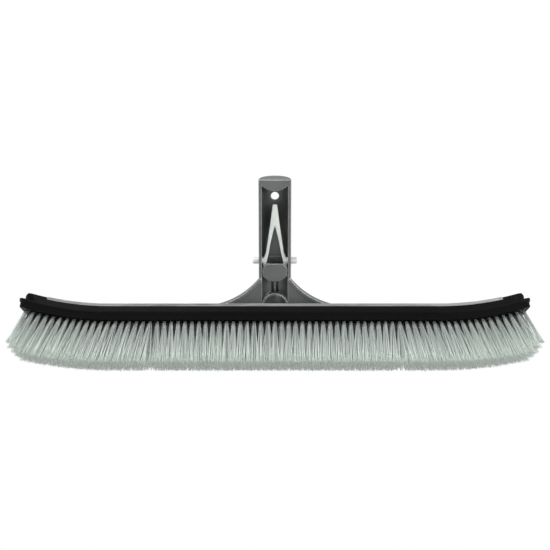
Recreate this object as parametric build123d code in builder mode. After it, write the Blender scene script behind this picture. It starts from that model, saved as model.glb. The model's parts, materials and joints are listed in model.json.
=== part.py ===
from build123d import *
import os
from math import asin, cos, degrees, radians, sin, sqrt

# Pool wall brush, standing on its bristle tips.
# X runs along the head, +Z is up, and the handle leans towards -Y.
# The origin is the middle of the bristle tips, on the surface the brush rests on.

# Head: a moulded bar whose two ends bend up, away from the pool wall
block_length = 460.0
block_thickness = 14.4
straight_half = 148.0
bend_radius = 270.0
top_width = 37.4
shoulder_width = 39.6
lip_width = 44.0
skirt_width = 42.4
underside_width = 36.6
lip_low = 5.2
lip_high = 7.8
lip_edge_radius = 0.8
upper_end_inset = 4.0
upper_end_bevel = 2.4
upper_corner = 14.0
lip_corner = 10.0
skirt_end_inset = 0.9

# Bristle tufts, drilled in straight rows and splayed towards the ends and the sides
bristle_length = 39.0
tufts_beside_middle = 36
upright_beside_middle = 17
tuft_pitch = 6.19
first_lean = 11.0
last_lean = 26.0
row_count = 5
root_row_pitch = 7.0
tip_row_pitch = 9.0
tuft_root_width = 2.8
row_root_thickness = 3.8
row_gap = 0.2
merge_fraction = 0.45
trim_radius = 378.0
corner_trim = 4.0
corner_tufts = 2
tuft_hole_radius = 1.6
tuft_hole_depth = 7.0
tuft_stub_radius = 1.35
tuft_stub_length = 4.4
root_gap = 0.6
staple_width = 2.4
staple_height = 1.6
staple_thickness = 0.5
staple_gap = 0.3

# Aluminium back plate
plate_length = 409.0
plate_width = 37.0
plate_thickness = 2.6
recess_depth = 2.0
end_gap = 0.3

# Handle: a half-round spigot on a webbed foot
handle_lean = 32.0
handle_length = 121.8
foot_drop = 1.7
spigot_radius = 14.5
well_radius = 12.1
front_depth = -3.0
rim_bevel = 0.7
foot_sink = 16.0

# Clip well inside the spigot, heights along the handle from its foot
well_top_side = 116.9
well_top_middle = 111.7
lip_top = 44.5
lip_thickness = 3.3
lip_half_width = 10.9
lip_corner_width = 6.9
lip_corner_height = 40.9
lip_groove_bottom = 32.6
well_floor = 38.0
back_step_height = 47.7
back_step_depth = 11.0

# Lower recess, with two cored slots and an arch-shaped rib at its foot
recess_floor_depth = 5.0
recess_top_side = 34.5
recess_top_middle = 28.3
core_slot_inner = 0.7
core_slot_outer = 3.5
core_slot_bottom = 15.6
core_slot_depth = 11.0
arch_height = 5.3
arch_radius = 10.0
arch_width = 1.6
arch_rise = 0.9

# Webs beside the spigot
web_thickness = 3.5
web_top = 31.0
web_reach = 55.0
web_tip_height = 4.6
web_mid_x = 28.2
web_mid_height = 16.6
web_rim_width = 2.0
web_rim_rise = 1.8
flange_length = 112.0
flange_front = -3.4
flange_back = 17.0
flange_thickness = 2.5
flange_corner = 6.0

# Hang hole
hang_hole_height = 103.6
hang_hole_radius = 3.65

# V-clip: stem, two legs and two feet with pins
clip_depth = 3.0
clip_thickness = 4.5
stem_width = 4.0
stem_top = 98.0
stem_base_low = 86.0
stem_shoulder_width = 7.8
stem_shoulder_height = 82.6
stem_end = 79.6
peg_height = 91.0
peg_radius = 1.5
peg_gap = 0.05
knuckle_x = 2.05
knuckle_height = 79.0
knuckle_radius = 1.7
ankle_x = 8.9
ankle_height = 51.0
ankle_radius = 1.9
hinge_gap = 0.3
foot_inner_x = 6.8
foot_outer_x = 10.3
foot_bottom = 40.7
foot_top = 50.6
foot_toe_x = 9.0
foot_toe_rise = 4.6
pin_height = 46.3
pin_radius = 3.0
pin_neck_radius = 2.7
pin_neck_end = 14.8
pin_reach = 19.9
pin_bevel = 0.9
pin_hole_radius = 3.5
pin_hole_drop = 0.4

# Fasteners
rivet_places = (-42.0, -22.0, 22.0, 42.0)
rivet_y = 9.5
rivet_head_radius = 3.4
rivet_head_height = 1.5
rivet_shank_radius = 1.95
rivet_hole_radius = 2.0
rivet_tail_depth = 1.2
screw_places = (-192.0, -132.0, -80.0, 80.0, 132.0, 192.0)
screw_head_radius = 3.6
screw_shank_radius = 1.7
screw_hole_radius = 1.75
screw_length = 7.8
screw_end_gap = 0.1
screw_slot_width = 0.9
screw_slot_depth = 0.9
sink_angle = 90

# Levels worked out from the sizes above
block_bottom = bristle_length
bend_centre_z = block_bottom + bend_radius
plate_low = block_thickness - recess_depth
plate_high = plate_low + plate_thickness
plate_top = block_bottom + plate_high
recess_half = plate_length / 2 + end_gap
row_numbers = range(1, row_count + 1)
middle_row = (row_count + 1) / 2
cut_margin = 1.0

# The handle's own directions: along it, and from its front to its back
handle_foot = Vector(0, 0, plate_top - foot_drop)
along = Vector(0, -sin(radians(handle_lean)), cos(radians(handle_lean)))
inward = Vector(0, cos(radians(handle_lean)), sin(radians(handle_lean)))


def surface_height(x, level):
    """Height at x of the bent surface that runs `level` above the block's underside."""
    beyond = max(abs(x) - straight_half, 0)
    return bend_centre_z - sqrt((bend_radius - level) ** 2 - beyond**2)


def trim_height(x):
    """Height of the trimmed bristle tips at x, a flatter curve than the block's own."""
    beyond = max(abs(x) - straight_half, 0)
    return trim_radius - sqrt(trim_radius**2 - beyond**2)


def surface_plane(x, level):
    """Plane on that surface at x, its normal square to the surface and pointing up."""
    beyond = max(abs(x) - straight_half, 0)
    tilt = asin(beyond / (bend_radius - level))
    normal = (-sin(tilt) if x > 0 else sin(tilt), 0, cos(tilt))
    return Plane(origin=(x, 0, surface_height(x, level)), x_dir=(0, 1, 0), z_dir=normal)


def bent_path(level, half_length):
    """Path along the bent head at one level, from its left end to its right end."""
    radius = bend_radius - level
    turn = degrees(asin((half_length - straight_half) / radius))
    with BuildLine(Plane.XZ) as path:
        CenterArc((-straight_half, bend_centre_z), radius, 270 - turn, turn)
        Line((-straight_half, bend_centre_z - radius), (straight_half, bend_centre_z - radius))
        CenterArc((straight_half, bend_centre_z), radius, 270, turn)
    return path.wire()


def bent_bar(level, half_length, low_width, high_width, height, edge_radius=0, mode=Mode.ADD):
    """Bar with a trapezoid section, swept along the bent head in the current part."""
    path = bent_path(level, half_length)
    with BuildSketch(Plane(origin=path @ 0, x_dir=(0, 1, 0), z_dir=path % 0)) as section:
        with BuildLine():
            Polyline(
                (-low_width / 2, 0),
                (low_width / 2, 0),
                (high_width / 2, height),
                (-high_width / 2, height),
                close=True,
            )
        make_face()
        if edge_radius > 0:
            fillet(section.vertices(), radius=edge_radius)
    sweep(section.sketch, path=path, mode=mode)


def tuft_lean(index):
    """Outward lean of a tuft, in degrees, from its place along the row."""
    beyond = abs(index) - upright_beside_middle - 1
    if beyond < 0:
        return 0.0
    share = beyond / (tufts_beside_middle - upright_beside_middle - 1)
    return first_lean + share * (last_lean - first_lean)


def tuft_run(index):
    """Unit direction (x, z) of a tuft, from its root to its tip."""
    lean = radians(tuft_lean(index))
    side = 1 if index > 0 else -1
    return side * sin(lean), -cos(lean)


def tuft_root(index):
    """Root (x, z) of a tuft, just below the block."""
    x = index * tuft_pitch
    run = tuft_run(index)
    z = surface_height(x, 0)
    return x + root_gap * run[0], z + root_gap * run[1]


def tuft_tip(index):
    """Tip (x, z): on the trim curve, and short of it at the very ends."""
    root = tuft_root(index)
    run = tuft_run(index)
    length = bristle_length - root_gap
    for _ in range(4):
        x = root[0] + length * run[0]
        z = root[1] + length * run[1]
        length += (z - trim_height(x)) / -run[1]
    length -= corner_trim * max(abs(index) - tufts_beside_middle + corner_tufts, 0)
    return root[0] + length * run[0], root[1] + length * run[1]


def row_slope(row):
    """Sideways run of a row's tufts for each millimetre down."""
    return (row - middle_row) * (tip_row_pitch - root_row_pitch) / bristle_length


def row_y(row, z):
    """Y of a row's middle plane at one height."""
    return (row - middle_row) * root_row_pitch + row_slope(row) * (block_bottom - z)


def tuft_plane(row, index, inset):
    """Plane square to a tuft's axis, `inset` up its hole from the root, facing up."""
    x, z = tuft_root(index)
    run = tuft_run(index)
    axis = Vector(-run[0], run[1] * row_slope(row), -run[1]).normalized()
    root = Vector(x, row_y(row, z), z)
    return Plane(origin=root + axis * inset, x_dir=(0, 1, 0), z_dir=axis)


def across(height):
    """Plane across the handle: x along the head, y from front to back."""
    return Plane(origin=handle_foot + along * height, x_dir=(1, 0, 0), z_dir=along)


def facing(depth):
    """Plane facing out of the handle's front: x along the head, y up the handle."""
    return Plane(origin=handle_foot + inward * depth, x_dir=(1, 0, 0), z_dir=inward * -1)


def sideways(x):
    """Plane along the handle at x: x from front to back, y up the handle."""
    return Plane(origin=handle_foot + Vector(x, 0, 0), x_dir=inward, z_dir=(1, 0, 0))


def row_runs(row):
    """Tuft numbers of a row's three runs: every second row stands half a pitch off the others."""
    odd = row % 2
    first = (1 - odd) / 2 - tufts_beside_middle
    numbers = [first + step for step in range(2 * tufts_beside_middle + odd)]
    last_upright = upright_beside_middle + 0.75
    return {
        "left": [number for number in numbers if number < -last_upright],
        "middle": [number for number in numbers if abs(number) <= last_upright],
        "right": [number for number in numbers if number > last_upright],
    }


def row_seats(row, inset):
    """Planes for all of a row's tufts, `inset` up their holes from the roots."""
    return [tuft_plane(row, index, inset) for run in row_runs(row).values() for index in run]


# Bristle block
with BuildPart() as brush_block:
    upper_height = block_thickness - lip_high
    bent_bar(lip_high, block_length / 2 - upper_end_inset, shoulder_width, top_width, upper_height)
    top_end_edges = brush_block.edges().filter_by(Axis.Y).group_by(Axis.Z)[-1]
    chamfer(top_end_edges, length=upper_end_bevel)
    with BuildSketch():
        RectangleRounded(block_length - 2 * upper_end_inset, shoulder_width, upper_corner)
    extrude(amount=block_length, mode=Mode.INTERSECT)
    bent_bar(lip_low, block_length / 2, lip_width, lip_width, lip_high - lip_low, lip_edge_radius)
    bent_bar(0, block_length / 2 - skirt_end_inset, underside_width, skirt_width, lip_low)
    with BuildSketch():
        RectangleRounded(block_length, lip_width, lip_corner)
    extrude(amount=block_length, mode=Mode.INTERSECT)
    bent_bar(plate_low, recess_half, lip_width, lip_width, recess_depth + cut_margin, mode=Mode.SUBTRACT)
    with Locations(*[seat for row in row_numbers for seat in row_seats(row, 0)]):
        Cylinder(
            tuft_hole_radius,
            tuft_hole_depth + root_gap,
            align=(Align.CENTER, Align.CENTER, Align.MIN),
            mode=Mode.SUBTRACT,
        )
    with Locations(*[surface_plane(x, plate_high) for x in screw_places]):
        Hole(screw_hole_radius, depth=screw_length + screw_end_gap)
brush_block.part.label = "brush_block"

# Back plate
with BuildPart() as back_plate:
    bent_bar(plate_low, plate_length / 2, plate_width, plate_width, plate_thickness)
    with Locations(*[surface_plane(x, plate_high) for x in screw_places]):
        CounterSinkHole(
            screw_hole_radius,
            screw_head_radius,
            depth=2 * plate_thickness,
            counter_sink_angle=sink_angle,
        )
    with BuildSketch(Plane.XY.offset(block_bottom + plate_low)):
        with Locations(*[(x, rivet_y) for x in rivet_places]):
            Circle(rivet_hole_radius)
    extrude(amount=plate_thickness, mode=Mode.SUBTRACT)
    with Locations(*[(x, rivet_y, block_bottom + plate_low) for x in rivet_places]):
        Cone(
            rivet_hole_radius + rivet_tail_depth,
            rivet_hole_radius,
            rivet_tail_depth,
            align=(Align.CENTER, Align.CENTER, Align.MIN),
            mode=Mode.SUBTRACT,
        )
back_plate.part.label = "back_plate"

# Space of the clip well: round at the back, under a roof that sags in the middle
with BuildPart() as well_core:
    with BuildSketch(sideways(0)):
        with BuildLine():
            Polyline(
                (front_depth - cut_margin, well_top_side),
                (well_radius, well_top_side),
                (well_radius, back_step_height),
                (back_step_depth, back_step_height),
                (back_step_depth, well_floor),
                (front_depth + lip_thickness, well_floor),
                (front_depth + lip_thickness, lip_top),
                (front_depth - cut_margin, lip_top),
                close=True,
            )
        make_face()
    extrude(amount=well_radius, both=True)
    with BuildSketch(across(0)):
        Circle(well_radius)
    extrude(amount=handle_length, mode=Mode.INTERSECT)
    with BuildSketch(facing(well_radius)):
        with BuildLine():
            well_roof = ThreePointArc(
                (-well_radius, well_top_side),
                (0, well_top_middle),
                (well_radius, well_top_side),
            )
            Line(well_roof @ 1, well_roof @ 0)
        make_face()
    extrude(amount=well_radius - front_depth + cut_margin, mode=Mode.SUBTRACT)

# Space beside the front lip, so that the clip's feet show past its corners
with BuildPart() as lip_side_core:
    with BuildSketch(facing(front_depth + lip_thickness)):
        with BuildLine():
            Polyline(
                (lip_corner_width, lip_top),
                (lip_half_width, lip_corner_height),
                (lip_half_width, lip_groove_bottom),
                (well_radius, lip_groove_bottom),
                (well_radius, lip_top),
                close=True,
            )
        make_face()
        mirror(about=Plane.YZ)
    extrude(amount=lip_thickness + cut_margin)
    with BuildSketch(across(0)):
        Circle(well_radius)
    extrude(amount=handle_length, mode=Mode.INTERSECT)

# Space of the lower recess: a shallow trough under the lip
trough_half = sqrt(well_radius**2 - front_depth**2)
trough_depth = recess_floor_depth - front_depth
trough_radius = (trough_half**2 + trough_depth**2) / (2 * trough_depth)
with BuildPart() as trough_core:
    with BuildSketch(facing(recess_floor_depth)):
        with BuildLine():
            trough_roof = ThreePointArc(
                (-trough_half, recess_top_side),
                (0, recess_top_middle),
                (trough_half, recess_top_side),
            )
            Polyline(
                trough_roof @ 1,
                (trough_half, -foot_sink),
                (-trough_half, -foot_sink),
                trough_roof @ 0,
            )
        make_face()
    extrude(amount=trough_depth + cut_margin)
    with BuildSketch(across(-foot_sink)):
        with Locations((0, recess_floor_depth - trough_radius)):
            Circle(trough_radius)
    extrude(amount=handle_length, mode=Mode.INTERSECT)

# Two deep slots cored into the trough
slot_width = core_slot_outer - core_slot_inner
slot_height = recess_top_middle - core_slot_bottom
with BuildPart() as slot_core:
    with BuildSketch(facing(core_slot_depth)):
        with Locations((core_slot_inner, core_slot_bottom), (-core_slot_outer, core_slot_bottom)):
            Rectangle(slot_width, slot_height, align=(Align.MIN, Align.MIN))
    extrude(amount=core_slot_depth - recess_floor_depth + cut_margin)

# Handle casting
with BuildPart() as handle:
    with BuildSketch(across(-foot_sink)):
        Circle(spigot_radius)
        with Locations((0, front_depth - spigot_radius)):
            Rectangle(2 * spigot_radius, 2 * spigot_radius, mode=Mode.SUBTRACT)
    extrude(amount=handle_length + foot_sink)
    chamfer(handle.faces().sort_by(Axis(handle_foot, along))[-1].edges(), length=rim_bevel)
    with BuildSketch(facing(front_depth + web_thickness)):
        with BuildLine():
            web_edge = ThreePointArc(
                (spigot_radius - web_rim_width / 2, web_top),
                (web_mid_x, web_mid_height),
                (web_reach, web_tip_height),
            )
            Polyline(web_edge @ 1, (web_reach, -foot_sink), (0, -foot_sink), (0, web_top), web_edge @ 0)
        make_face()
        mirror(about=Plane.YZ)
    extrude(amount=web_thickness)
    with BuildSketch(facing(front_depth + web_thickness + web_rim_rise)):
        with BuildLine():
            rim_edge = ThreePointArc(
                (spigot_radius - web_rim_width / 2, web_top),
                (web_mid_x, web_mid_height),
                (web_reach, web_tip_height),
            )
            offset(rim_edge, amount=web_rim_width, side=Side.RIGHT)
        make_face()
        mirror(about=Plane.YZ)
    extrude(amount=web_thickness + 2 * web_rim_rise)
    with BuildSketch(Plane.XY.offset(plate_top)):
        with Locations((0, (flange_front + flange_back) / 2)):
            RectangleRounded(flange_length, flange_back - flange_front, flange_corner)
    extrude(amount=flange_thickness)
    split(bisect_by=Plane.XY.offset(plate_top), keep=Keep.TOP)
    add(well_core.part, mode=Mode.SUBTRACT)
    add(lip_side_core.part, mode=Mode.SUBTRACT)
    add(trough_core.part, mode=Mode.SUBTRACT)
    add(slot_core.part, mode=Mode.SUBTRACT)
    with BuildSketch(facing(recess_floor_depth)):
        with Locations((0, arch_height)):
            Circle(arch_radius + arch_width)
            Circle(arch_radius, mode=Mode.SUBTRACT)
        split(bisect_by=Plane.XZ.offset(-arch_height), keep=Keep.BOTTOM)
    extrude(amount=recess_floor_depth - front_depth + arch_rise)
    with BuildSketch(facing(spigot_radius)):
        with Locations((0, hang_hole_height)):
            Circle(hang_hole_radius)
        with Locations((0, peg_height)):
            Circle(peg_radius + peg_gap)
    extrude(amount=spigot_radius - clip_depth, mode=Mode.SUBTRACT)
    with BuildSketch(sideways(-spigot_radius)):
        with Locations((clip_depth, pin_height - pin_hole_drop)):
            Circle(pin_hole_radius)
    extrude(amount=2 * spigot_radius, mode=Mode.SUBTRACT)
    with Locations(*[(x, rivet_y, plate_top) for x in rivet_places]):
        Cylinder(rivet_hole_radius, 2 * flange_thickness, mode=Mode.SUBTRACT)
handle.part.label = "handle"

# V-clip stem: a neck pegged into the handle's back wall, and a shoulder for the legs
with BuildPart() as clip_stem:
    with BuildSketch(facing(clip_depth + clip_thickness / 2)):
        with BuildLine():
            Polyline(
                (0, stem_top),
                (stem_width / 2, stem_top),
                (stem_shoulder_width / 2, stem_shoulder_height),
                (stem_shoulder_width / 2, stem_end),
                (0, stem_end),
                close=True,
            )
        make_face()
        mirror(about=Plane.YZ)
        with Locations((knuckle_x, knuckle_height), (-knuckle_x, knuckle_height)):
            Circle(knuckle_radius + hinge_gap, mode=Mode.SUBTRACT)
    extrude(amount=clip_thickness)
    with BuildSketch(facing(well_radius)):
        with Locations((0, (stem_top + stem_base_low) / 2)):
            Rectangle(stem_width, stem_top - stem_base_low)
    extrude(amount=well_radius - clip_depth)
    with BuildSketch(across(0)):
        Circle(well_radius - peg_gap)
    extrude(amount=handle_length, mode=Mode.INTERSECT)
    with BuildSketch(facing(spigot_radius - rim_bevel)):
        with Locations((0, peg_height)):
            Circle(peg_radius)
    extrude(amount=spigot_radius - clip_depth - rim_bevel)
clip_stem.part.label = "clip_stem"

# V-clip leg, right side: a tapered strip from its knuckle to its ankle
with BuildPart() as right_leg:
    with BuildSketch(facing(clip_depth + clip_thickness / 2)):
        with BuildLine():
            CenterArc((knuckle_x, knuckle_height), knuckle_radius, 0, 360)
            CenterArc((ankle_x, ankle_height), ankle_radius, 0, 360)
        make_hull()
    extrude(amount=clip_thickness)

# V-clip foot, right side: a toe below the ankle, and the pin that locks into the pole
with BuildPart() as right_foot:
    with BuildSketch(facing(clip_depth + clip_thickness / 2)):
        with BuildLine():
            Polyline(
                (foot_inner_x, foot_top),
                (foot_inner_x, foot_bottom + foot_toe_rise),
                (foot_toe_x, foot_bottom),
                (foot_outer_x, foot_bottom),
                (foot_outer_x, foot_top),
                close=True,
            )
        make_face()
    extrude(amount=clip_thickness)
    with BuildSketch(sideways(foot_toe_x)):
        with Locations((clip_depth, pin_height)):
            Circle(pin_neck_radius)
    extrude(amount=pin_neck_end - foot_toe_x)
    with BuildSketch(sideways(pin_neck_end)):
        with Locations((clip_depth, pin_height)):
            Circle(pin_radius)
    extrude(amount=pin_reach - pin_neck_end)
    chamfer(right_foot.faces().sort_by(Axis.X)[-1].edges(), length=pin_bevel)
    with BuildSketch(facing(clip_depth)):
        with Locations((ankle_x, ankle_height)):
            Circle(ankle_radius + hinge_gap)
    extrude(amount=pin_radius, both=True, mode=Mode.SUBTRACT)


def both_sides(piece, name):
    """The right-hand piece and its mirror image, each under its own name."""
    right = piece.part
    left = mirror(right, about=Plane.YZ)
    right.label = f"{name}_right"
    left.label = f"{name}_left"
    return [right, left]


# Rivet: domed head on the handle's flange, tail spread into the back plate's countersink
dome_radius = (rivet_head_radius**2 + rivet_head_height**2) / (2 * rivet_head_height)
crown = flange_thickness + rivet_head_height
with BuildPart() as rivet:
    with BuildSketch(Plane.XZ):
        with BuildLine():
            Polyline(
                (0, crown),
                (0, -plate_thickness),
                (rivet_shank_radius + rivet_tail_depth, -plate_thickness),
                (rivet_shank_radius, rivet_tail_depth - plate_thickness),
                (rivet_shank_radius, flange_thickness),
                (rivet_head_radius, flange_thickness),
            )
            RadiusArc((rivet_head_radius, flange_thickness), (0, crown), -dome_radius)
        make_face()
    revolve(axis=Axis.Z)
with BuildPart() as handle_rivets:
    with Locations(*[(x, rivet_y, plate_top) for x in rivet_places]):
        add(rivet.part)
handle_rivets.part.label = "handle_rivets"

# Screw: flat countersunk head with a slot, shank into the block
with BuildPart() as screw:
    Cylinder(screw_shank_radius, screw_length, align=(Align.CENTER, Align.CENTER, Align.MAX))
    head_drop = screw_head_radius - screw_hole_radius
    Cone(
        screw_shank_radius,
        screw_head_radius - peg_gap,
        head_drop,
        align=(Align.CENTER, Align.CENTER, Align.MAX),
    )
    Box(
        2 * screw_head_radius,
        screw_slot_width,
        screw_slot_depth,
        align=(Align.CENTER, Align.CENTER, Align.MAX),
        mode=Mode.SUBTRACT,
    )
with BuildPart() as plate_screws:
    with Locations(*[surface_plane(x, plate_high) for x in screw_places]):
        add(screw.part)
plate_screws.part.label = "plate_screws"


def comb_outline(indices):
    """Outline of a run of tufts: apart at their roots, merged from part-way down."""
    roots = [Vector(*tuft_root(i)) for i in indices]
    runs = [Vector(*tuft_run(i)) for i in indices]
    tips = [Vector(*tuft_tip(i)) for i in indices]
    half_root = tuft_root_width / 2
    half_tip = tuft_pitch / 2
    outline = []
    for number, (root, run, tip) in enumerate(zip(roots, runs, tips)):
        beside = Vector(-run.Y, run.X)
        outline += [root - beside * half_root, root + beside * half_root]
        if number + 1 < len(roots):
            fork = root + (tip - root) * merge_fraction
            next_fork = roots[number + 1] + (tips[number + 1] - roots[number + 1]) * merge_fraction
            outline.append((fork + next_fork) / 2)
    beside_first = Vector(-runs[0].Y, runs[0].X)
    beside_last = Vector(-runs[-1].Y, runs[-1].X)
    outline.append(tips[-1] + beside_last * half_tip)
    outline += reversed(tips)
    outline.append(tips[0] - beside_first * half_tip)
    return outline


# Bristles: each row in three runs, the middle one upright and the outer ones fanned
bristle_runs = []
for row in row_numbers:
    for place, indices in row_runs(row).items():
        with BuildPart() as bristles:
            with BuildSketch(Plane.XZ):
                with BuildLine():
                    Polyline(*comb_outline(indices), close=True)
                make_face()
            extrude(amount=lip_width, both=True)
            with BuildSketch(Plane.YZ):
                high = block_bottom + block_thickness
                half_high = row_root_thickness / 2
                half_low = (tip_row_pitch - row_gap) / 2
                narrowing = (half_low - half_high) / bristle_length
                with BuildLine():
                    Polyline(
                        (row_y(row, 0) - half_low, 0),
                        (row_y(row, 0) + half_low, 0),
                        (row_y(row, high) + half_high - narrowing * (high - block_bottom), high),
                        (row_y(row, high) - half_high + narrowing * (high - block_bottom), high),
                        close=True,
                    )
                make_face()
            extrude(amount=block_length, both=True, mode=Mode.INTERSECT)
            with Locations(*[tuft_plane(row, i, 0) for i in indices]):
                Cylinder(
                    tuft_stub_radius,
                    tuft_stub_length + root_gap,
                    align=(Align.CENTER, Align.CENTER, Align.MIN),
                )
        bristles.part.label = f"bristle_row_{row}_{place}"
        bristle_runs.append(bristles.part)

# Staples: one flat wire across the bottom of each tuft's hole
staple_rows = []
for row in row_numbers:
    with BuildPart() as staples:
        staple_inset = root_gap + tuft_stub_length + staple_gap
        with Locations(*row_seats(row, staple_inset)):
            Box(
                staple_thickness,
                staple_width,
                staple_height,
                align=(Align.CENTER, Align.CENTER, Align.MIN),
            )
    staples.part.label = f"staples_row_{row}"
    staple_rows.append(staples.part)

pieces = [brush_block.part, back_plate.part, handle.part, handle_rivets.part, plate_screws.part]
pieces += [clip_stem.part] + both_sides(right_leg, "clip_leg") + both_sides(right_foot, "clip_foot")
pieces += bristle_runs + staple_rows
os.makedirs("parts", exist_ok=True)
for piece in pieces:
    export_step(piece, f"parts/{piece.label}.step")
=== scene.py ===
import json
from math import cos, pi, radians, sin, sqrt

import bmesh
import bpy
import numpy as np
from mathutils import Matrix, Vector


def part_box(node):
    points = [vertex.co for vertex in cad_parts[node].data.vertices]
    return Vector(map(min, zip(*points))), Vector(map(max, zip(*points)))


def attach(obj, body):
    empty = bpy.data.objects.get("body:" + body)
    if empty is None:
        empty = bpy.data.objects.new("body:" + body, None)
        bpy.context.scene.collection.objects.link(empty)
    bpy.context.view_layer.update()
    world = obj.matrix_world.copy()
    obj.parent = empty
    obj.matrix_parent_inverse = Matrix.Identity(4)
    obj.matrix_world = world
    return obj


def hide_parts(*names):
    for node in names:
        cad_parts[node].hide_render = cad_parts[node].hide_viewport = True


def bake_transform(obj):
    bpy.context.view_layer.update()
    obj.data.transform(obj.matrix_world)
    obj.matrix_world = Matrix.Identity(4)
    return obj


# Looks of the pool wall brush, in metres, in the CAD model's frame: X along the head, +Z up from
# the bristle tips to the handle, which leans towards -Y.
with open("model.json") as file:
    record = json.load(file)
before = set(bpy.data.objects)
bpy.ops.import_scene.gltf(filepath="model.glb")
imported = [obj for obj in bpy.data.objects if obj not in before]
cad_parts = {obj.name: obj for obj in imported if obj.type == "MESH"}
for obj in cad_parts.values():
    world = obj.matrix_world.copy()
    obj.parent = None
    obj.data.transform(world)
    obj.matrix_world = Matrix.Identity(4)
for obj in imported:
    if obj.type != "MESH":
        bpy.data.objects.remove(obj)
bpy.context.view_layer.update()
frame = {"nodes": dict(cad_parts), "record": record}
scene = bpy.context.scene
mm = 0.001

# Camera: in front of the head and below it, looking up
camera_rise = radians(15)
camera_target = Vector((0.0001, 0, 0.0853))
camera_distance = 1.1
camera_aim = Vector((0, cos(camera_rise), sin(camera_rise)))
camera_data = bpy.data.cameras.new("camera")
camera_data.lens = 78.5
camera = bpy.data.objects.new("camera", camera_data)
camera.location = camera_target - camera_aim * camera_distance
camera.rotation_euler = camera_aim.to_track_quat("-Z", "Y").to_euler()
scene.collection.objects.link(camera)
scene.camera = camera

# Sizes that the bristles and the clip share with the CAD model
straight_half = 148 * mm
bend_radius = 270 * mm
trim_radius = 378 * mm
bristle_length = 39 * mm
tufts_beside_middle = 36
upright_beside_middle = 17
last_upright = upright_beside_middle + 0.75
tuft_pitch = 6.19 * mm
first_lean = 11  # degrees
last_lean = 26  # degrees
row_numbers = range(1, 6)
middle_row = 3
root_row_pitch = 7 * mm
tip_row_pitch = 9 * mm
root_gap = 0.6 * mm
corner_trim = 4 * mm
corner_tufts = 2
foot_drop = 1.7 * mm
handle_foot = Vector((0, 0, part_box("handle")[0].z - foot_drop))
handle_lean = radians(32)
along = Vector((0, -sin(handle_lean), cos(handle_lean)))
inward = Vector((0, cos(handle_lean), sin(handle_lean)))
clip_depth = 3 * mm
clip_thickness = 4.5 * mm
pin_height = 46.3 * mm
pin_radius = 3 * mm
pin_reach = 19.9 * mm


# ---------------------------------------------------------------- materials


def new_material(name, metallic=0.0, roughness=0.5, specular=0.5):
    """A material with a Principled shader: the material, its node tree and the shader."""
    material = bpy.data.materials.new(name)
    material.use_nodes = True
    shader = material.node_tree.nodes["Principled BSDF"]
    shader.inputs["Metallic"].default_value = metallic
    shader.inputs["Roughness"].default_value = roughness
    shader.inputs["Specular IOR Level"].default_value = specular
    return material, material.node_tree, shader


def noise(tree, scale, detail=2.0, stretch=(1, 1, 1)):
    """Noise in the object's own space, `scale` grains to the metre, squeezed by `stretch`."""
    place = tree.nodes.new("ShaderNodeTexCoord")
    mapping = tree.nodes.new("ShaderNodeMapping")
    mapping.inputs["Scale"].default_value = stretch
    texture = tree.nodes.new("ShaderNodeTexNoise")
    texture.inputs["Scale"].default_value = scale
    texture.inputs["Detail"].default_value = detail
    tree.links.new(place.outputs["Object"], mapping.inputs["Vector"])
    tree.links.new(mapping.outputs["Vector"], texture.inputs["Vector"])
    return texture.outputs["Fac"]


def mesh_value(tree, name):
    """A value that the mesh itself carries, point by point."""
    attribute = tree.nodes.new("ShaderNodeAttribute")
    attribute.attribute_name = name
    return attribute.outputs["Fac"]


def spread(tree, value, low, high, source=(0.3, 0.7)):
    """A value moved from the source range to another range."""
    node = tree.nodes.new("ShaderNodeMapRange")
    node.inputs["From Min"].default_value = source[0]
    node.inputs["From Max"].default_value = source[1]
    node.inputs["To Min"].default_value = low
    node.inputs["To Max"].default_value = high
    tree.links.new(value, node.inputs["Value"])
    return node.outputs["Result"]


def tint(tree, value, dark, light, source=(0.3, 0.7)):
    """A colour between dark and light, as the value goes over the source range."""
    ramp = tree.nodes.new("ShaderNodeValToRGB")
    first, last = ramp.color_ramp.elements
    first.position, last.position = source
    first.color = (*dark, 1)
    last.color = (*light, 1)
    tree.links.new(value, ramp.inputs["Fac"])
    return ramp.outputs["Color"]


def blend_colours(tree, share, first, second):
    """The first colour where share is 0, and the second where it is 1."""
    mix = tree.nodes.new("ShaderNodeMix")
    mix.data_type = "RGBA"
    tree.links.new(share, mix.inputs["Factor"])
    tree.links.new(first, mix.inputs["A"])
    tree.links.new(second, mix.inputs["B"])
    return mix.outputs["Result"]


def bump(tree, height, distance, under=None):
    """A normal from a height, on top of another normal where one is given."""
    node = tree.nodes.new("ShaderNodeBump")
    node.inputs["Distance"].default_value = distance
    tree.links.new(height, node.inputs["Height"])
    if under is not None:
        tree.links.new(under, node.inputs["Normal"])
    return node.outputs["Normal"]


def rounded_edges(tree, radius):
    """A normal that rounds sharp edges, and a share that is high along them."""
    at_edge, off_edge = 0.86, 0.99
    bevel = tree.nodes.new("ShaderNodeBevel")
    bevel.samples = 4
    bevel.inputs["Radius"].default_value = radius
    geometry = tree.nodes.new("ShaderNodeNewGeometry")
    product = tree.nodes.new("ShaderNodeVectorMath")
    product.operation = "DOT_PRODUCT"
    tree.links.new(bevel.outputs["Normal"], product.inputs[0])
    tree.links.new(geometry.outputs["Normal"], product.inputs[1])
    edge = spread(tree, product.outputs["Value"], 1, 0, (at_edge, off_edge))
    return bevel.outputs["Normal"], edge


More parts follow.
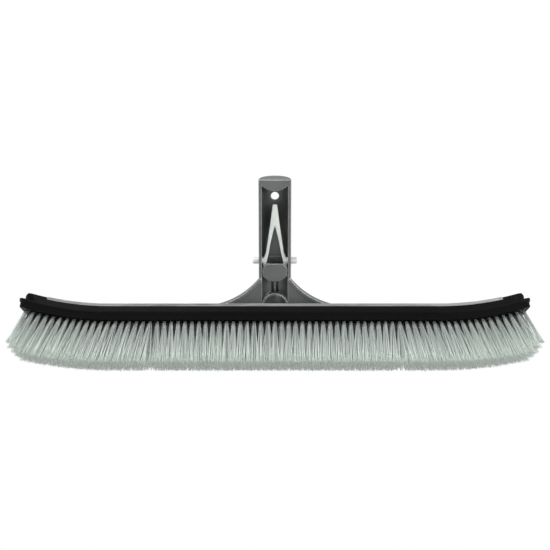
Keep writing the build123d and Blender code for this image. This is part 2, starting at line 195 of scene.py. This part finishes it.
def block_plastic():
    """Black moulded plastic: fine matte grain, faint flow marks along the bar, and paler edges,
    partly wear and partly a painted highlight.
    """
    material, tree, shader = new_material("black_plastic", specular=0.055)
    normal, edge = rounded_edges(tree, 0.5 * mm)
    flow = noise(tree, 30, 3, (0.3, 1, 1))
    body = tint(tree, flow, (0.0026, 0.0026, 0.0026), (0.0045, 0.0045, 0.0045))
    # Paler colour along the edges: partly wear, partly a painted highlight standing in for light
    # caught by the rounded edges.
    edge_wear_and_highlight = tint(tree, noise(tree, 220, 3), (0.007, 0.007, 0.007), (0.024, 0.024, 0.024))
    tree.links.new(blend_colours(tree, edge, body, edge_wear_and_highlight), shader.inputs["Base Color"])
    grain = noise(tree, 2200, 2)
    tree.links.new(spread(tree, noise(tree, 90, 4), 0.38, 0.55), shader.inputs["Roughness"])
    tree.links.new(bump(tree, grain, 0.03 * mm, normal), shader.inputs["Normal"])
    return material


def plate_aluminium():
    """Rolled aluminium sheet: long fine brush lines along the head and a few darker smears."""
    material, tree, shader = new_material("rolled_aluminium", metallic=1.0)
    normal, _ = rounded_edges(tree, 0.3 * mm)
    lines = noise(tree, 60, 4, (1, 60, 60))
    smears = noise(tree, 25, 3)
    bright = tint(tree, lines, (0.27, 0.275, 0.28), (0.4, 0.405, 0.41))
    dull = tint(tree, lines, (0.2, 0.205, 0.21), (0.31, 0.315, 0.32))
    share = spread(tree, smears, 0, 1, (0.45, 0.65))
    tree.links.new(blend_colours(tree, share, bright, dull), shader.inputs["Base Color"])
    tree.links.new(spread(tree, lines, 0.28, 0.44), shader.inputs["Roughness"])
    tree.links.new(bump(tree, lines, 0.02 * mm, normal), shader.inputs["Normal"])
    return material


def cast_aluminium():
    """Die-cast aluminium: satin grey skin, soft blotches, fine cast grain and much brighter edges,
    partly rubbed metal and partly a painted highlight.
    """
    material, tree, shader = new_material("cast_aluminium", metallic=0.75)
    normal, edge = rounded_edges(tree, 0.8 * mm)
    blotches = noise(tree, 55, 4)
    skin = tint(tree, blotches, (0.105, 0.108, 0.108), (0.145, 0.149, 0.149))
    # Much brighter colour along the edges: partly rubbed metal, partly a painted highlight standing
    # in for light caught by the rims.
    rubbed_and_highlight_edges = tint(tree, noise(tree, 300, 3), (0.44, 0.445, 0.445), (0.8, 0.81, 0.81))
    tree.links.new(blend_colours(tree, edge, skin, rubbed_and_highlight_edges), shader.inputs["Base Color"])
    tree.links.new(spread(tree, blotches, 0.4, 0.56), shader.inputs["Roughness"])
    grain = noise(tree, 1400, 3)
    tree.links.new(bump(tree, grain, 0.05 * mm, normal), shader.inputs["Normal"])
    return material


def plain_metal(name, dark, light, roughness):
    """Small metal parts: fine tumbled grain over a satin surface."""
    material, tree, shader = new_material(name, metallic=1.0)
    grain = noise(tree, 1800, 3)
    tree.links.new(tint(tree, noise(tree, 400, 3), dark, light), shader.inputs["Base Color"])
    tree.links.new(spread(tree, grain, roughness, roughness + 0.15), shader.inputs["Roughness"])
    tree.links.new(bump(tree, grain, 0.02 * mm), shader.inputs["Normal"])
    return material


def clip_plastic():
    """Off-white moulded spring plastic: soft sheen, slight greying and a fine grain."""
    material, tree, shader = new_material("clip_plastic", specular=0.45)
    shader.inputs["Subsurface Weight"].default_value = 0.15
    shader.inputs["Subsurface Radius"].default_value = (1.2 * mm, 1.2 * mm, 1.0 * mm)
    clouds = noise(tree, 160, 3)
    white = tint(tree, clouds, (0.52, 0.55, 0.52), (0.62, 0.65, 0.62))
    tree.links.new(white, shader.inputs["Base Color"])
    tree.links.new(spread(tree, clouds, 0.3, 0.45), shader.inputs["Roughness"])
    tree.links.new(bump(tree, noise(tree, 1500, 2), 0.02 * mm), shader.inputs["Normal"])
    return material


def bristle_nylon():
    """Pale grey-green nylon filament, each one its own tone, with painted shade: darker towards the
    root and at the cut ends.
    """
    material, tree, shader = new_material("bristle_nylon", roughness=0.34, specular=0.45)
    shade = mesh_value(tree, "shade")
    down = mesh_value(tree, "down")
    # Painted shade: the root colour is much darker than the tip colour, standing in for the shade
    # under the block and between the tufts.
    root = tint(tree, shade, (0.19, 0.206, 0.2), (0.28, 0.304, 0.295), (0, 1))
    tip = tint(tree, shade, (0.58, 0.655, 0.605), (0.77, 0.845, 0.79), (0, 1))
    # Painted shade: the cut ends are darker, standing in for the shade on the underside of the
    # bristles.
    painted_cut_end_shade = tint(tree, shade, (0.4, 0.44, 0.41), (0.54, 0.58, 0.55), (0, 1))
    cut_end_shade_share = spread(tree, down, 0, 1, (0.96, 1))
    filament = blend_colours(tree, down, root, tip)
    tree.links.new(blend_colours(tree, cut_end_shade_share, filament, painted_cut_end_shade), shader.inputs["Base Color"])
    streaks = noise(tree, 900, 2, (1, 1, 0.15))
    tree.links.new(bump(tree, streaks, 0.02 * mm), shader.inputs["Normal"])
    return material


nylon = bristle_nylon()
clip_white = clip_plastic()
looks = {
    "block_plastic": block_plastic(),
    "plate_aluminium": plate_aluminium(),
    "cast_aluminium": cast_aluminium(),
    "rivet_aluminium": plain_metal("rivet_aluminium", (0.42, 0.42, 0.42), (0.6, 0.6, 0.6), 0.35),
    "stainless_steel": plain_metal("stainless_steel", (0.5, 0.5, 0.49), (0.62, 0.62, 0.6), 0.25),
    "staple_wire": plain_metal("staple_wire", (0.5, 0.4, 0.22), (0.66, 0.55, 0.33), 0.3),
    "clip_plastic": clip_white,
    "bristle_nylon": nylon,
}


def dress_nodes():
    """Every CAD node takes the look of its own slot in the record."""
    for part in frame["record"]["subparts"]:
        node = frame["nodes"][part["node"]]
        node.data.materials.clear()
        node.data.materials.append(looks[part["material_slot"]])


# ---------------------------------------------------------------- new pieces


def add_piece(name, mesh, material):
    """Links a finished mesh as a piece with its material."""
    piece = bpy.data.objects.new(name, mesh)
    mesh.materials.append(material)
    scene.collection.objects.link(piece)
    return piece


# ---------------------------------------------------------------- bristles

filaments_in_tuft = 46
filament_radius = 0.2 * mm
filament_sides = 4
filament_rings = 6
filament_tip_width = 0.86
root_spread = 1.25 * mm
tip_reach_x = 5.6 * mm
tip_reach_y = 4.8 * mm
tip_lift = 0.1 * mm
upright_share = 0.87
end_tuft_share = 0.3
first_leaning_share = 1.9
rim_crowding = 0.42
nudge = 0.06
stray_filaments = 0.05
stray_reach = 1.45
tip_scatter = 0.35 * mm
cut_scatter = 0.35 * mm
cut_shortfall = 0.25 * mm
bow_size = 0.5 * mm
bow_power = 1.3
seed = 11


def bent_height(x, base, radius):
    """Height at x of a line at the base level that bends up with this radius near the ends."""
    beyond = max(abs(x) - straight_half, 0)
    return base + radius - sqrt(radius**2 - beyond**2)


def tuft_line(index):
    """Root and tip (x, z) of a tuft: upright in the middle run, leaning out beyond it.

    Its length closes in on the trimmed line in four steps, and is cut short at the head's corners.
    """
    index = float(index)
    beyond = abs(index) - upright_beside_middle - 1
    share = max(beyond, 0) / (tufts_beside_middle - upright_beside_middle - 1)
    lean = radians(first_lean + share * (last_lean - first_lean)) if beyond >= 0 else 0.0
    run = Vector((sin(lean) if index > 0 else -sin(lean), -cos(lean)))
    x = index * tuft_pitch
    root = Vector((x, bent_height(x, bristle_length, bend_radius))) + run * root_gap
    length = bristle_length - root_gap
    for _ in range(4):
        tip = root + run * length
        length += (tip.y - bent_height(tip.x, tip_lift, trim_radius)) / -run.y
    length -= corner_trim * max(abs(index) - tufts_beside_middle + corner_tufts, 0)
    return root, root + run * length


def row_y(row, z):
    """Y of a row's middle plane at one height."""
    slope = (row - middle_row) * (tip_row_pitch - root_row_pitch) / bristle_length
    return (row - middle_row) * root_row_pitch + slope * (bristle_length - z)


def row_runs(row):
    """Tuft numbers of a row's three runs: every second row stands half a pitch off the others."""
    odd = row % 2
    numbers = np.arange(2 * tufts_beside_middle + odd) + (1 - odd) / 2 - tufts_beside_middle
    return {
        "left": numbers[numbers < -last_upright],
        "middle": numbers[np.abs(numbers) <= last_upright],
        "right": numbers[numbers > last_upright],
    }


def outer_share(index):
    """How far a tuft opens towards the nearer end: less for the last one of a row."""
    if abs(index) < last_upright:
        return upright_share
    return end_tuft_share if abs(index) > tufts_beside_middle - 1 else 1.0


def inner_share(index):
    """How far a tuft opens towards the middle: the first leaning one fills the gap beside it."""
    if abs(index) < last_upright:
        return upright_share
    return first_leaning_share if abs(index) < last_upright + 1 else 1.0


def disc_points(random, count):
    """Points over a unit disc, slightly closer together at its rim, each nudged a little."""
    number = np.arange(count)
    radius = ((number + 0.5) / count) ** rim_crowding
    angle = number * pi * (3 - sqrt(5)) + random.uniform(0, 2 * pi)
    flat = np.stack([radius * np.cos(angle), radius * np.sin(angle)], axis=1)
    return flat + random.normal(0, nudge, (count, 2))


def tuft_centrelines(random, row, index):
    """Centrelines (filament, ring, xyz) of one tuft, tight at the root and opening to the tip."""
    root, tip = tuft_line(index)
    low = np.array([tip.x, row_y(row, tip.y), tip.y])
    high = np.array([root.x, row_y(row, root.y), root.y])
    count = filaments_in_tuft
    disc = disc_points(random, count)
    level = np.zeros(count)
    start = high + np.column_stack([disc, level]) * root_spread
    loose = np.where(random.random(count) < stray_filaments, stray_reach, 1.0)[:, None]
    reach = disc * loose * np.array([tip_reach_x, tip_reach_y])
    outward = np.sign(index) * reach[:, 0]
    shares = [outer_share(index), inner_share(index)]
    reach[:, 0] *= np.select([outward > 0, outward < 0], shares, 1.0)
    reach += random.normal(0, tip_scatter, reach.shape)
    end = low + np.column_stack([reach, level])
    run = (low - high) / np.linalg.norm(low - high)
    cut = random.normal(0, cut_scatter, count) - np.abs(random.normal(0, cut_shortfall, count))
    end += run * cut[:, None]
    share = np.linspace(0, 1, filament_rings)[None, :, None]
    bow = random.normal(0, bow_size, (count, 1, 3)) * np.array([1, 1, 0.1])
    straight = start[:, None, :] + (end - start)[:, None, :] * share
    return straight + bow * np.sin(pi * share**bow_power) * share


def tube_mesh(name, lines, shades):
    """One mesh of thin closed tubes along the lines, with each one's shade and place down it."""
    count, rings, _ = lines.shape
    sides = filament_sides
    angle = np.arange(sides) * 2 * pi / sides
    circle = np.stack([np.cos(angle), np.sin(angle), 0 * angle], axis=1)
    taper = np.linspace(1.0, filament_tip_width, rings)[None, :, None, None]
    points = lines[:, :, None, :] + circle[None, None] * filament_radius * taper
    ring = np.arange(sides)
    after = (ring + 1) % sides
    wall = np.stack([ring, after, after + sides, ring + sides], axis=1)
    walls = wall[None] + (np.arange(rings - 1) * sides)[:, None, None]
    caps = np.stack([ring[::-1], ring + (rings - 1) * sides])
    tube = np.concatenate([walls.reshape(-1, sides), caps])
    tubes = tube[None] + (np.arange(count) * rings * sides)[:, None, None]
    faces = tubes.reshape(-1, sides)[:, ::-1]
    mesh = bpy.data.meshes.new(name)
    mesh.from_pydata(points.reshape(-1, 3).tolist(), [], faces.tolist())
    down = np.tile(np.repeat(np.linspace(0, 1, rings), sides), count)
    shade = np.repeat(shades, rings * sides)
    for label, values in (("down", down), ("shade", shade)):
        layer = mesh.attributes.new(label, "FLOAT", "POINT")
        layer.data.foreach_set("value", values.astype(np.float32))
    mesh.polygons.foreach_set("use_smooth", np.ones(len(mesh.polygons), bool))
    mesh.update()
    return mesh


def make_bristles():
    """Each row in three runs, as in the CAD model, one piece of filaments for each run."""
    random = np.random.default_rng(seed)
    for row in row_numbers:
        for place, indices in row_runs(row).items():
            lines = np.concatenate([tuft_centrelines(random, row, index) for index in indices])
            shades = random.random(len(lines))
            name = f"filaments_row_{row}_{place}"
            piece = add_piece(name, tube_mesh(name, lines, shades), nylon)
            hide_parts(f"bristle_row_{row}_{place}")
            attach(piece, "brush")


# ---------------------------------------------------------------- V-clip

stem_top = 98 * mm
stem_top_half = 2 * mm
fork_height = 78.5 * mm
fork_half = 4.45 * mm
ankle_height = 54.5 * mm
ankle_inner = 5.3 * mm
ankle_outer = 8.05 * mm
leg_bow = 0.5 * mm
flare_height = 48.5 * mm
flare_power = 1.3
foot_outer = 10.7 * mm
toe_height = 40.6 * mm
toe_inner = 8.6 * mm
clip_edge = 0.6 * mm
clip_rings = 18
corner_points = 5
rounding_steps = (0.12, 0.35, 0.65, 1.0)
pin_sides = 40
pin_root = 9 * mm
pin_edge = 0.9 * mm


def on_handle(x, depth, height):
    """A point at x, `depth` behind the handle's axis and `height` up it."""
    return handle_foot + Vector((x, 0, 0)) + inward * depth + along * height


def between(first, last, share):
    """The value at a share of the way from the first to the last."""
    return first + (last - first) * share


def stem_edges(height):
    """The stem's two sides (x) at a height: it widens evenly down to the fork."""
    half = between(stem_top_half, fork_half, (stem_top - height) / (stem_top - fork_height))
    return -half, half


def leg_edges(height):
    """A leg's inner and outer side (x) at a height."""
    share = (fork_height - height) / (fork_height - ankle_height)
    inner = between(0, ankle_inner, share) + leg_bow * 4 * share * (1 - share)
    return inner, between(fork_half, ankle_outer, share)


def foot_edges(height):
    """A foot's inner and outer side (x) at a height: it flares out, and then runs straight down."""
    inner = between(ankle_inner, toe_inner, (ankle_height - height) / (ankle_height - toe_height))
    flare = min((ankle_height - height) / (ankle_height - flare_height), 1)
    return inner, between(ankle_outer, foot_outer, flare**flare_power)


def rounded_inset(distance, radius):
    """How far an edge of this radius stands back at a distance from the end of a piece."""
    rest = max(radius - distance, 0)
    return radius - sqrt(radius**2 - rest**2)


def section_ring(low, high, inset):
    """Outline (x, depth) of the clip's cross-section between two sides, its corners rounded."""
    half_x = (high - low) / 2 - inset
    half_depth = clip_thickness / 2 - inset
    radius = min(clip_edge, 0.9 * half_x)
    ring = []
    for corner, (side_x, side_depth) in enumerate(((1, 1), (-1, 1), (-1, -1), (1, -1))):
        for angle in np.linspace(corner, corner + 1, corner_points) * pi / 2:
            x = (low + high) / 2 + side_x * (half_x - radius) + radius * cos(angle)
            ring.append((x, clip_depth + side_depth * (half_depth - radius) + radius * sin(angle)))
    return ring


def loft(shape, rings):
    """Closed surface through rings of points: smooth walls and two flat ends with crisp edges."""
    loops = [[shape.verts.new(point) for point in ring] for ring in rings]
    for upper, lower in zip(loops, loops[1:]):
        for number in range(len(upper)):
            after = (number + 1) % len(upper)
            wall = shape.faces.new((upper[number], upper[after], lower[after], lower[number]))
            wall.smooth = True
    for end in (loops[0], loops[-1]):
        cap = shape.faces.new(end)
        for edge in cap.edges:
            edge.smooth = False


def clip_heights(top, bottom, free_top, free_bottom):
    """Heights of a strip's rings, close together at an end that is free and so rounded."""
    heights = list(np.linspace(top, bottom, clip_rings))
    fine = np.array(rounding_steps) * clip_edge
    heights += list(top - fine) if free_top else []
    heights += list(bottom + fine) if free_bottom else []
    return sorted(heights, reverse=True)


def pin_rings(side):
    """Rings of the pin from inside the foot to its rounded tip."""
    rings = []
    tip_steps = (*reversed(rounding_steps), 0)
    for x in [pin_root] + [pin_reach - pin_edge * step for step in tip_steps]:
        radius = pin_radius - rounded_inset(pin_reach - x, pin_edge)
        ring = []
        for angle in np.arange(pin_sides) * 2 * pi / pin_sides:
            depth = clip_depth + radius * cos(angle)
            ring.append(on_handle(side * x, depth, pin_height + radius * sin(angle)))
        rings.append(ring)
    return rings


def clip_strip(name, side, top, bottom, edges, free_top=False, free_bottom=False, pin=False):
    """A strip of the clip between two heights, and its pin if asked for, as a finished piece."""
    shape = bmesh.new()
    rings = []
    for height in clip_heights(top, bottom, free_top, free_bottom):
        inset = rounded_inset(top - height, clip_edge) if free_top else 0
        inset += rounded_inset(height - bottom, clip_edge) if free_bottom else 0
        ring = section_ring(*edges(height), inset)
        rings.append([on_handle(side * x, depth, height) for x, depth in ring])
    loft(shape, rings)
    if pin:
        loft(shape, pin_rings(side))
    bmesh.ops.recalc_face_normals(shape, faces=shape.faces)
    mesh = bpy.data.meshes.new(name)
    shape.to_mesh(mesh)
    shape.free()
    return add_piece(name, mesh, clip_white)


def make_clip():
    """The V-clip as one springy piece, divided where its CAD bodies meet."""
    crown = clip_strip("v_clip_crown", 1, stem_top, fork_height, stem_edges, free_top=True)
    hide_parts("clip_stem")
    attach(crown, "brush")
    for side, place in ((-1, "left"), (1, "right")):
        leg = clip_strip(f"v_clip_leg_{place}", side, fork_height, ankle_height, leg_edges)
        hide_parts(f"clip_leg_{place}")
        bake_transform(leg)
        foot = clip_strip(
            f"v_clip_foot_{place}", side, ankle_height, toe_height, foot_edges,
            free_bottom=True, pin=True,
        )
        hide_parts(f"clip_foot_{place}")
        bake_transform(foot)


# ---------------------------------------------------------------- stage and light


light_target = Vector((0, 0, 0.06))


def make_stage():
    """A plain pale floor well below the camera's line of sight."""
    floor_height = -0.22
    floor_radius = 6.0
    shape = bmesh.new()
    bmesh.ops.create_circle(shape, cap_ends=True, segments=96, radius=floor_radius)
    mesh = bpy.data.meshes.new("floor")
    shape.to_mesh(mesh)
    shape.free()
    floor = bpy.data.objects.new("floor", mesh)
    floor.location.z = floor_height
    scene.collection.objects.link(floor)
    material, tree, shader = new_material("floor", roughness=0.8, specular=0.2)
    colour = tint(tree, noise(tree, 3, 2), (0.6, 0.6, 0.6), (0.64, 0.64, 0.64))
    tree.links.new(colour, shader.inputs["Base Color"])
    mesh.materials.append(material)


def softbox(name, place, size, power):
    """A square area light that faces the brush, a little above its bristle tips."""
    data = bpy.data.lights.new(name, "AREA")
    data.size = size
    data.energy = power
    light = bpy.data.objects.new(name, data)
    light.location = place
    aim = light_target - light.location
    light.rotation_euler = aim.to_track_quat("-Z", "Y").to_euler()
    scene.collection.objects.link(light)


def make_light():
    """Surroundings white behind and grey in front, a large key above and a fill from the right."""
    world = bpy.data.worlds.new("studio")
    world.use_nodes = True
    tree = world.node_tree
    background = tree.nodes["Background"]
    place = tree.nodes.new("ShaderNodeTexCoord")
    parts = tree.nodes.new("ShaderNodeSeparateXYZ")
    tree.links.new(place.outputs["Generated"], parts.inputs["Vector"])
    front, back = (0.58, 0.58, 0.58), (1, 1, 1)
    sky = tint(tree, parts.outputs["Y"], front, back, (0.0, 0.5))
    tree.links.new(sky, background.inputs["Color"])
    background.inputs["Strength"].default_value = 1.0
    scene.world = world
    scene.view_settings.view_transform = "Standard"
    softbox("key", place=(-0.7, -1.0, 1.3), size=0.8, power=30)
    softbox("fill", place=(1.1, -1.1, 0.3), size=0.9, power=14)


make_stage()
make_light()
dress_nodes()
make_bristles()
make_clip()
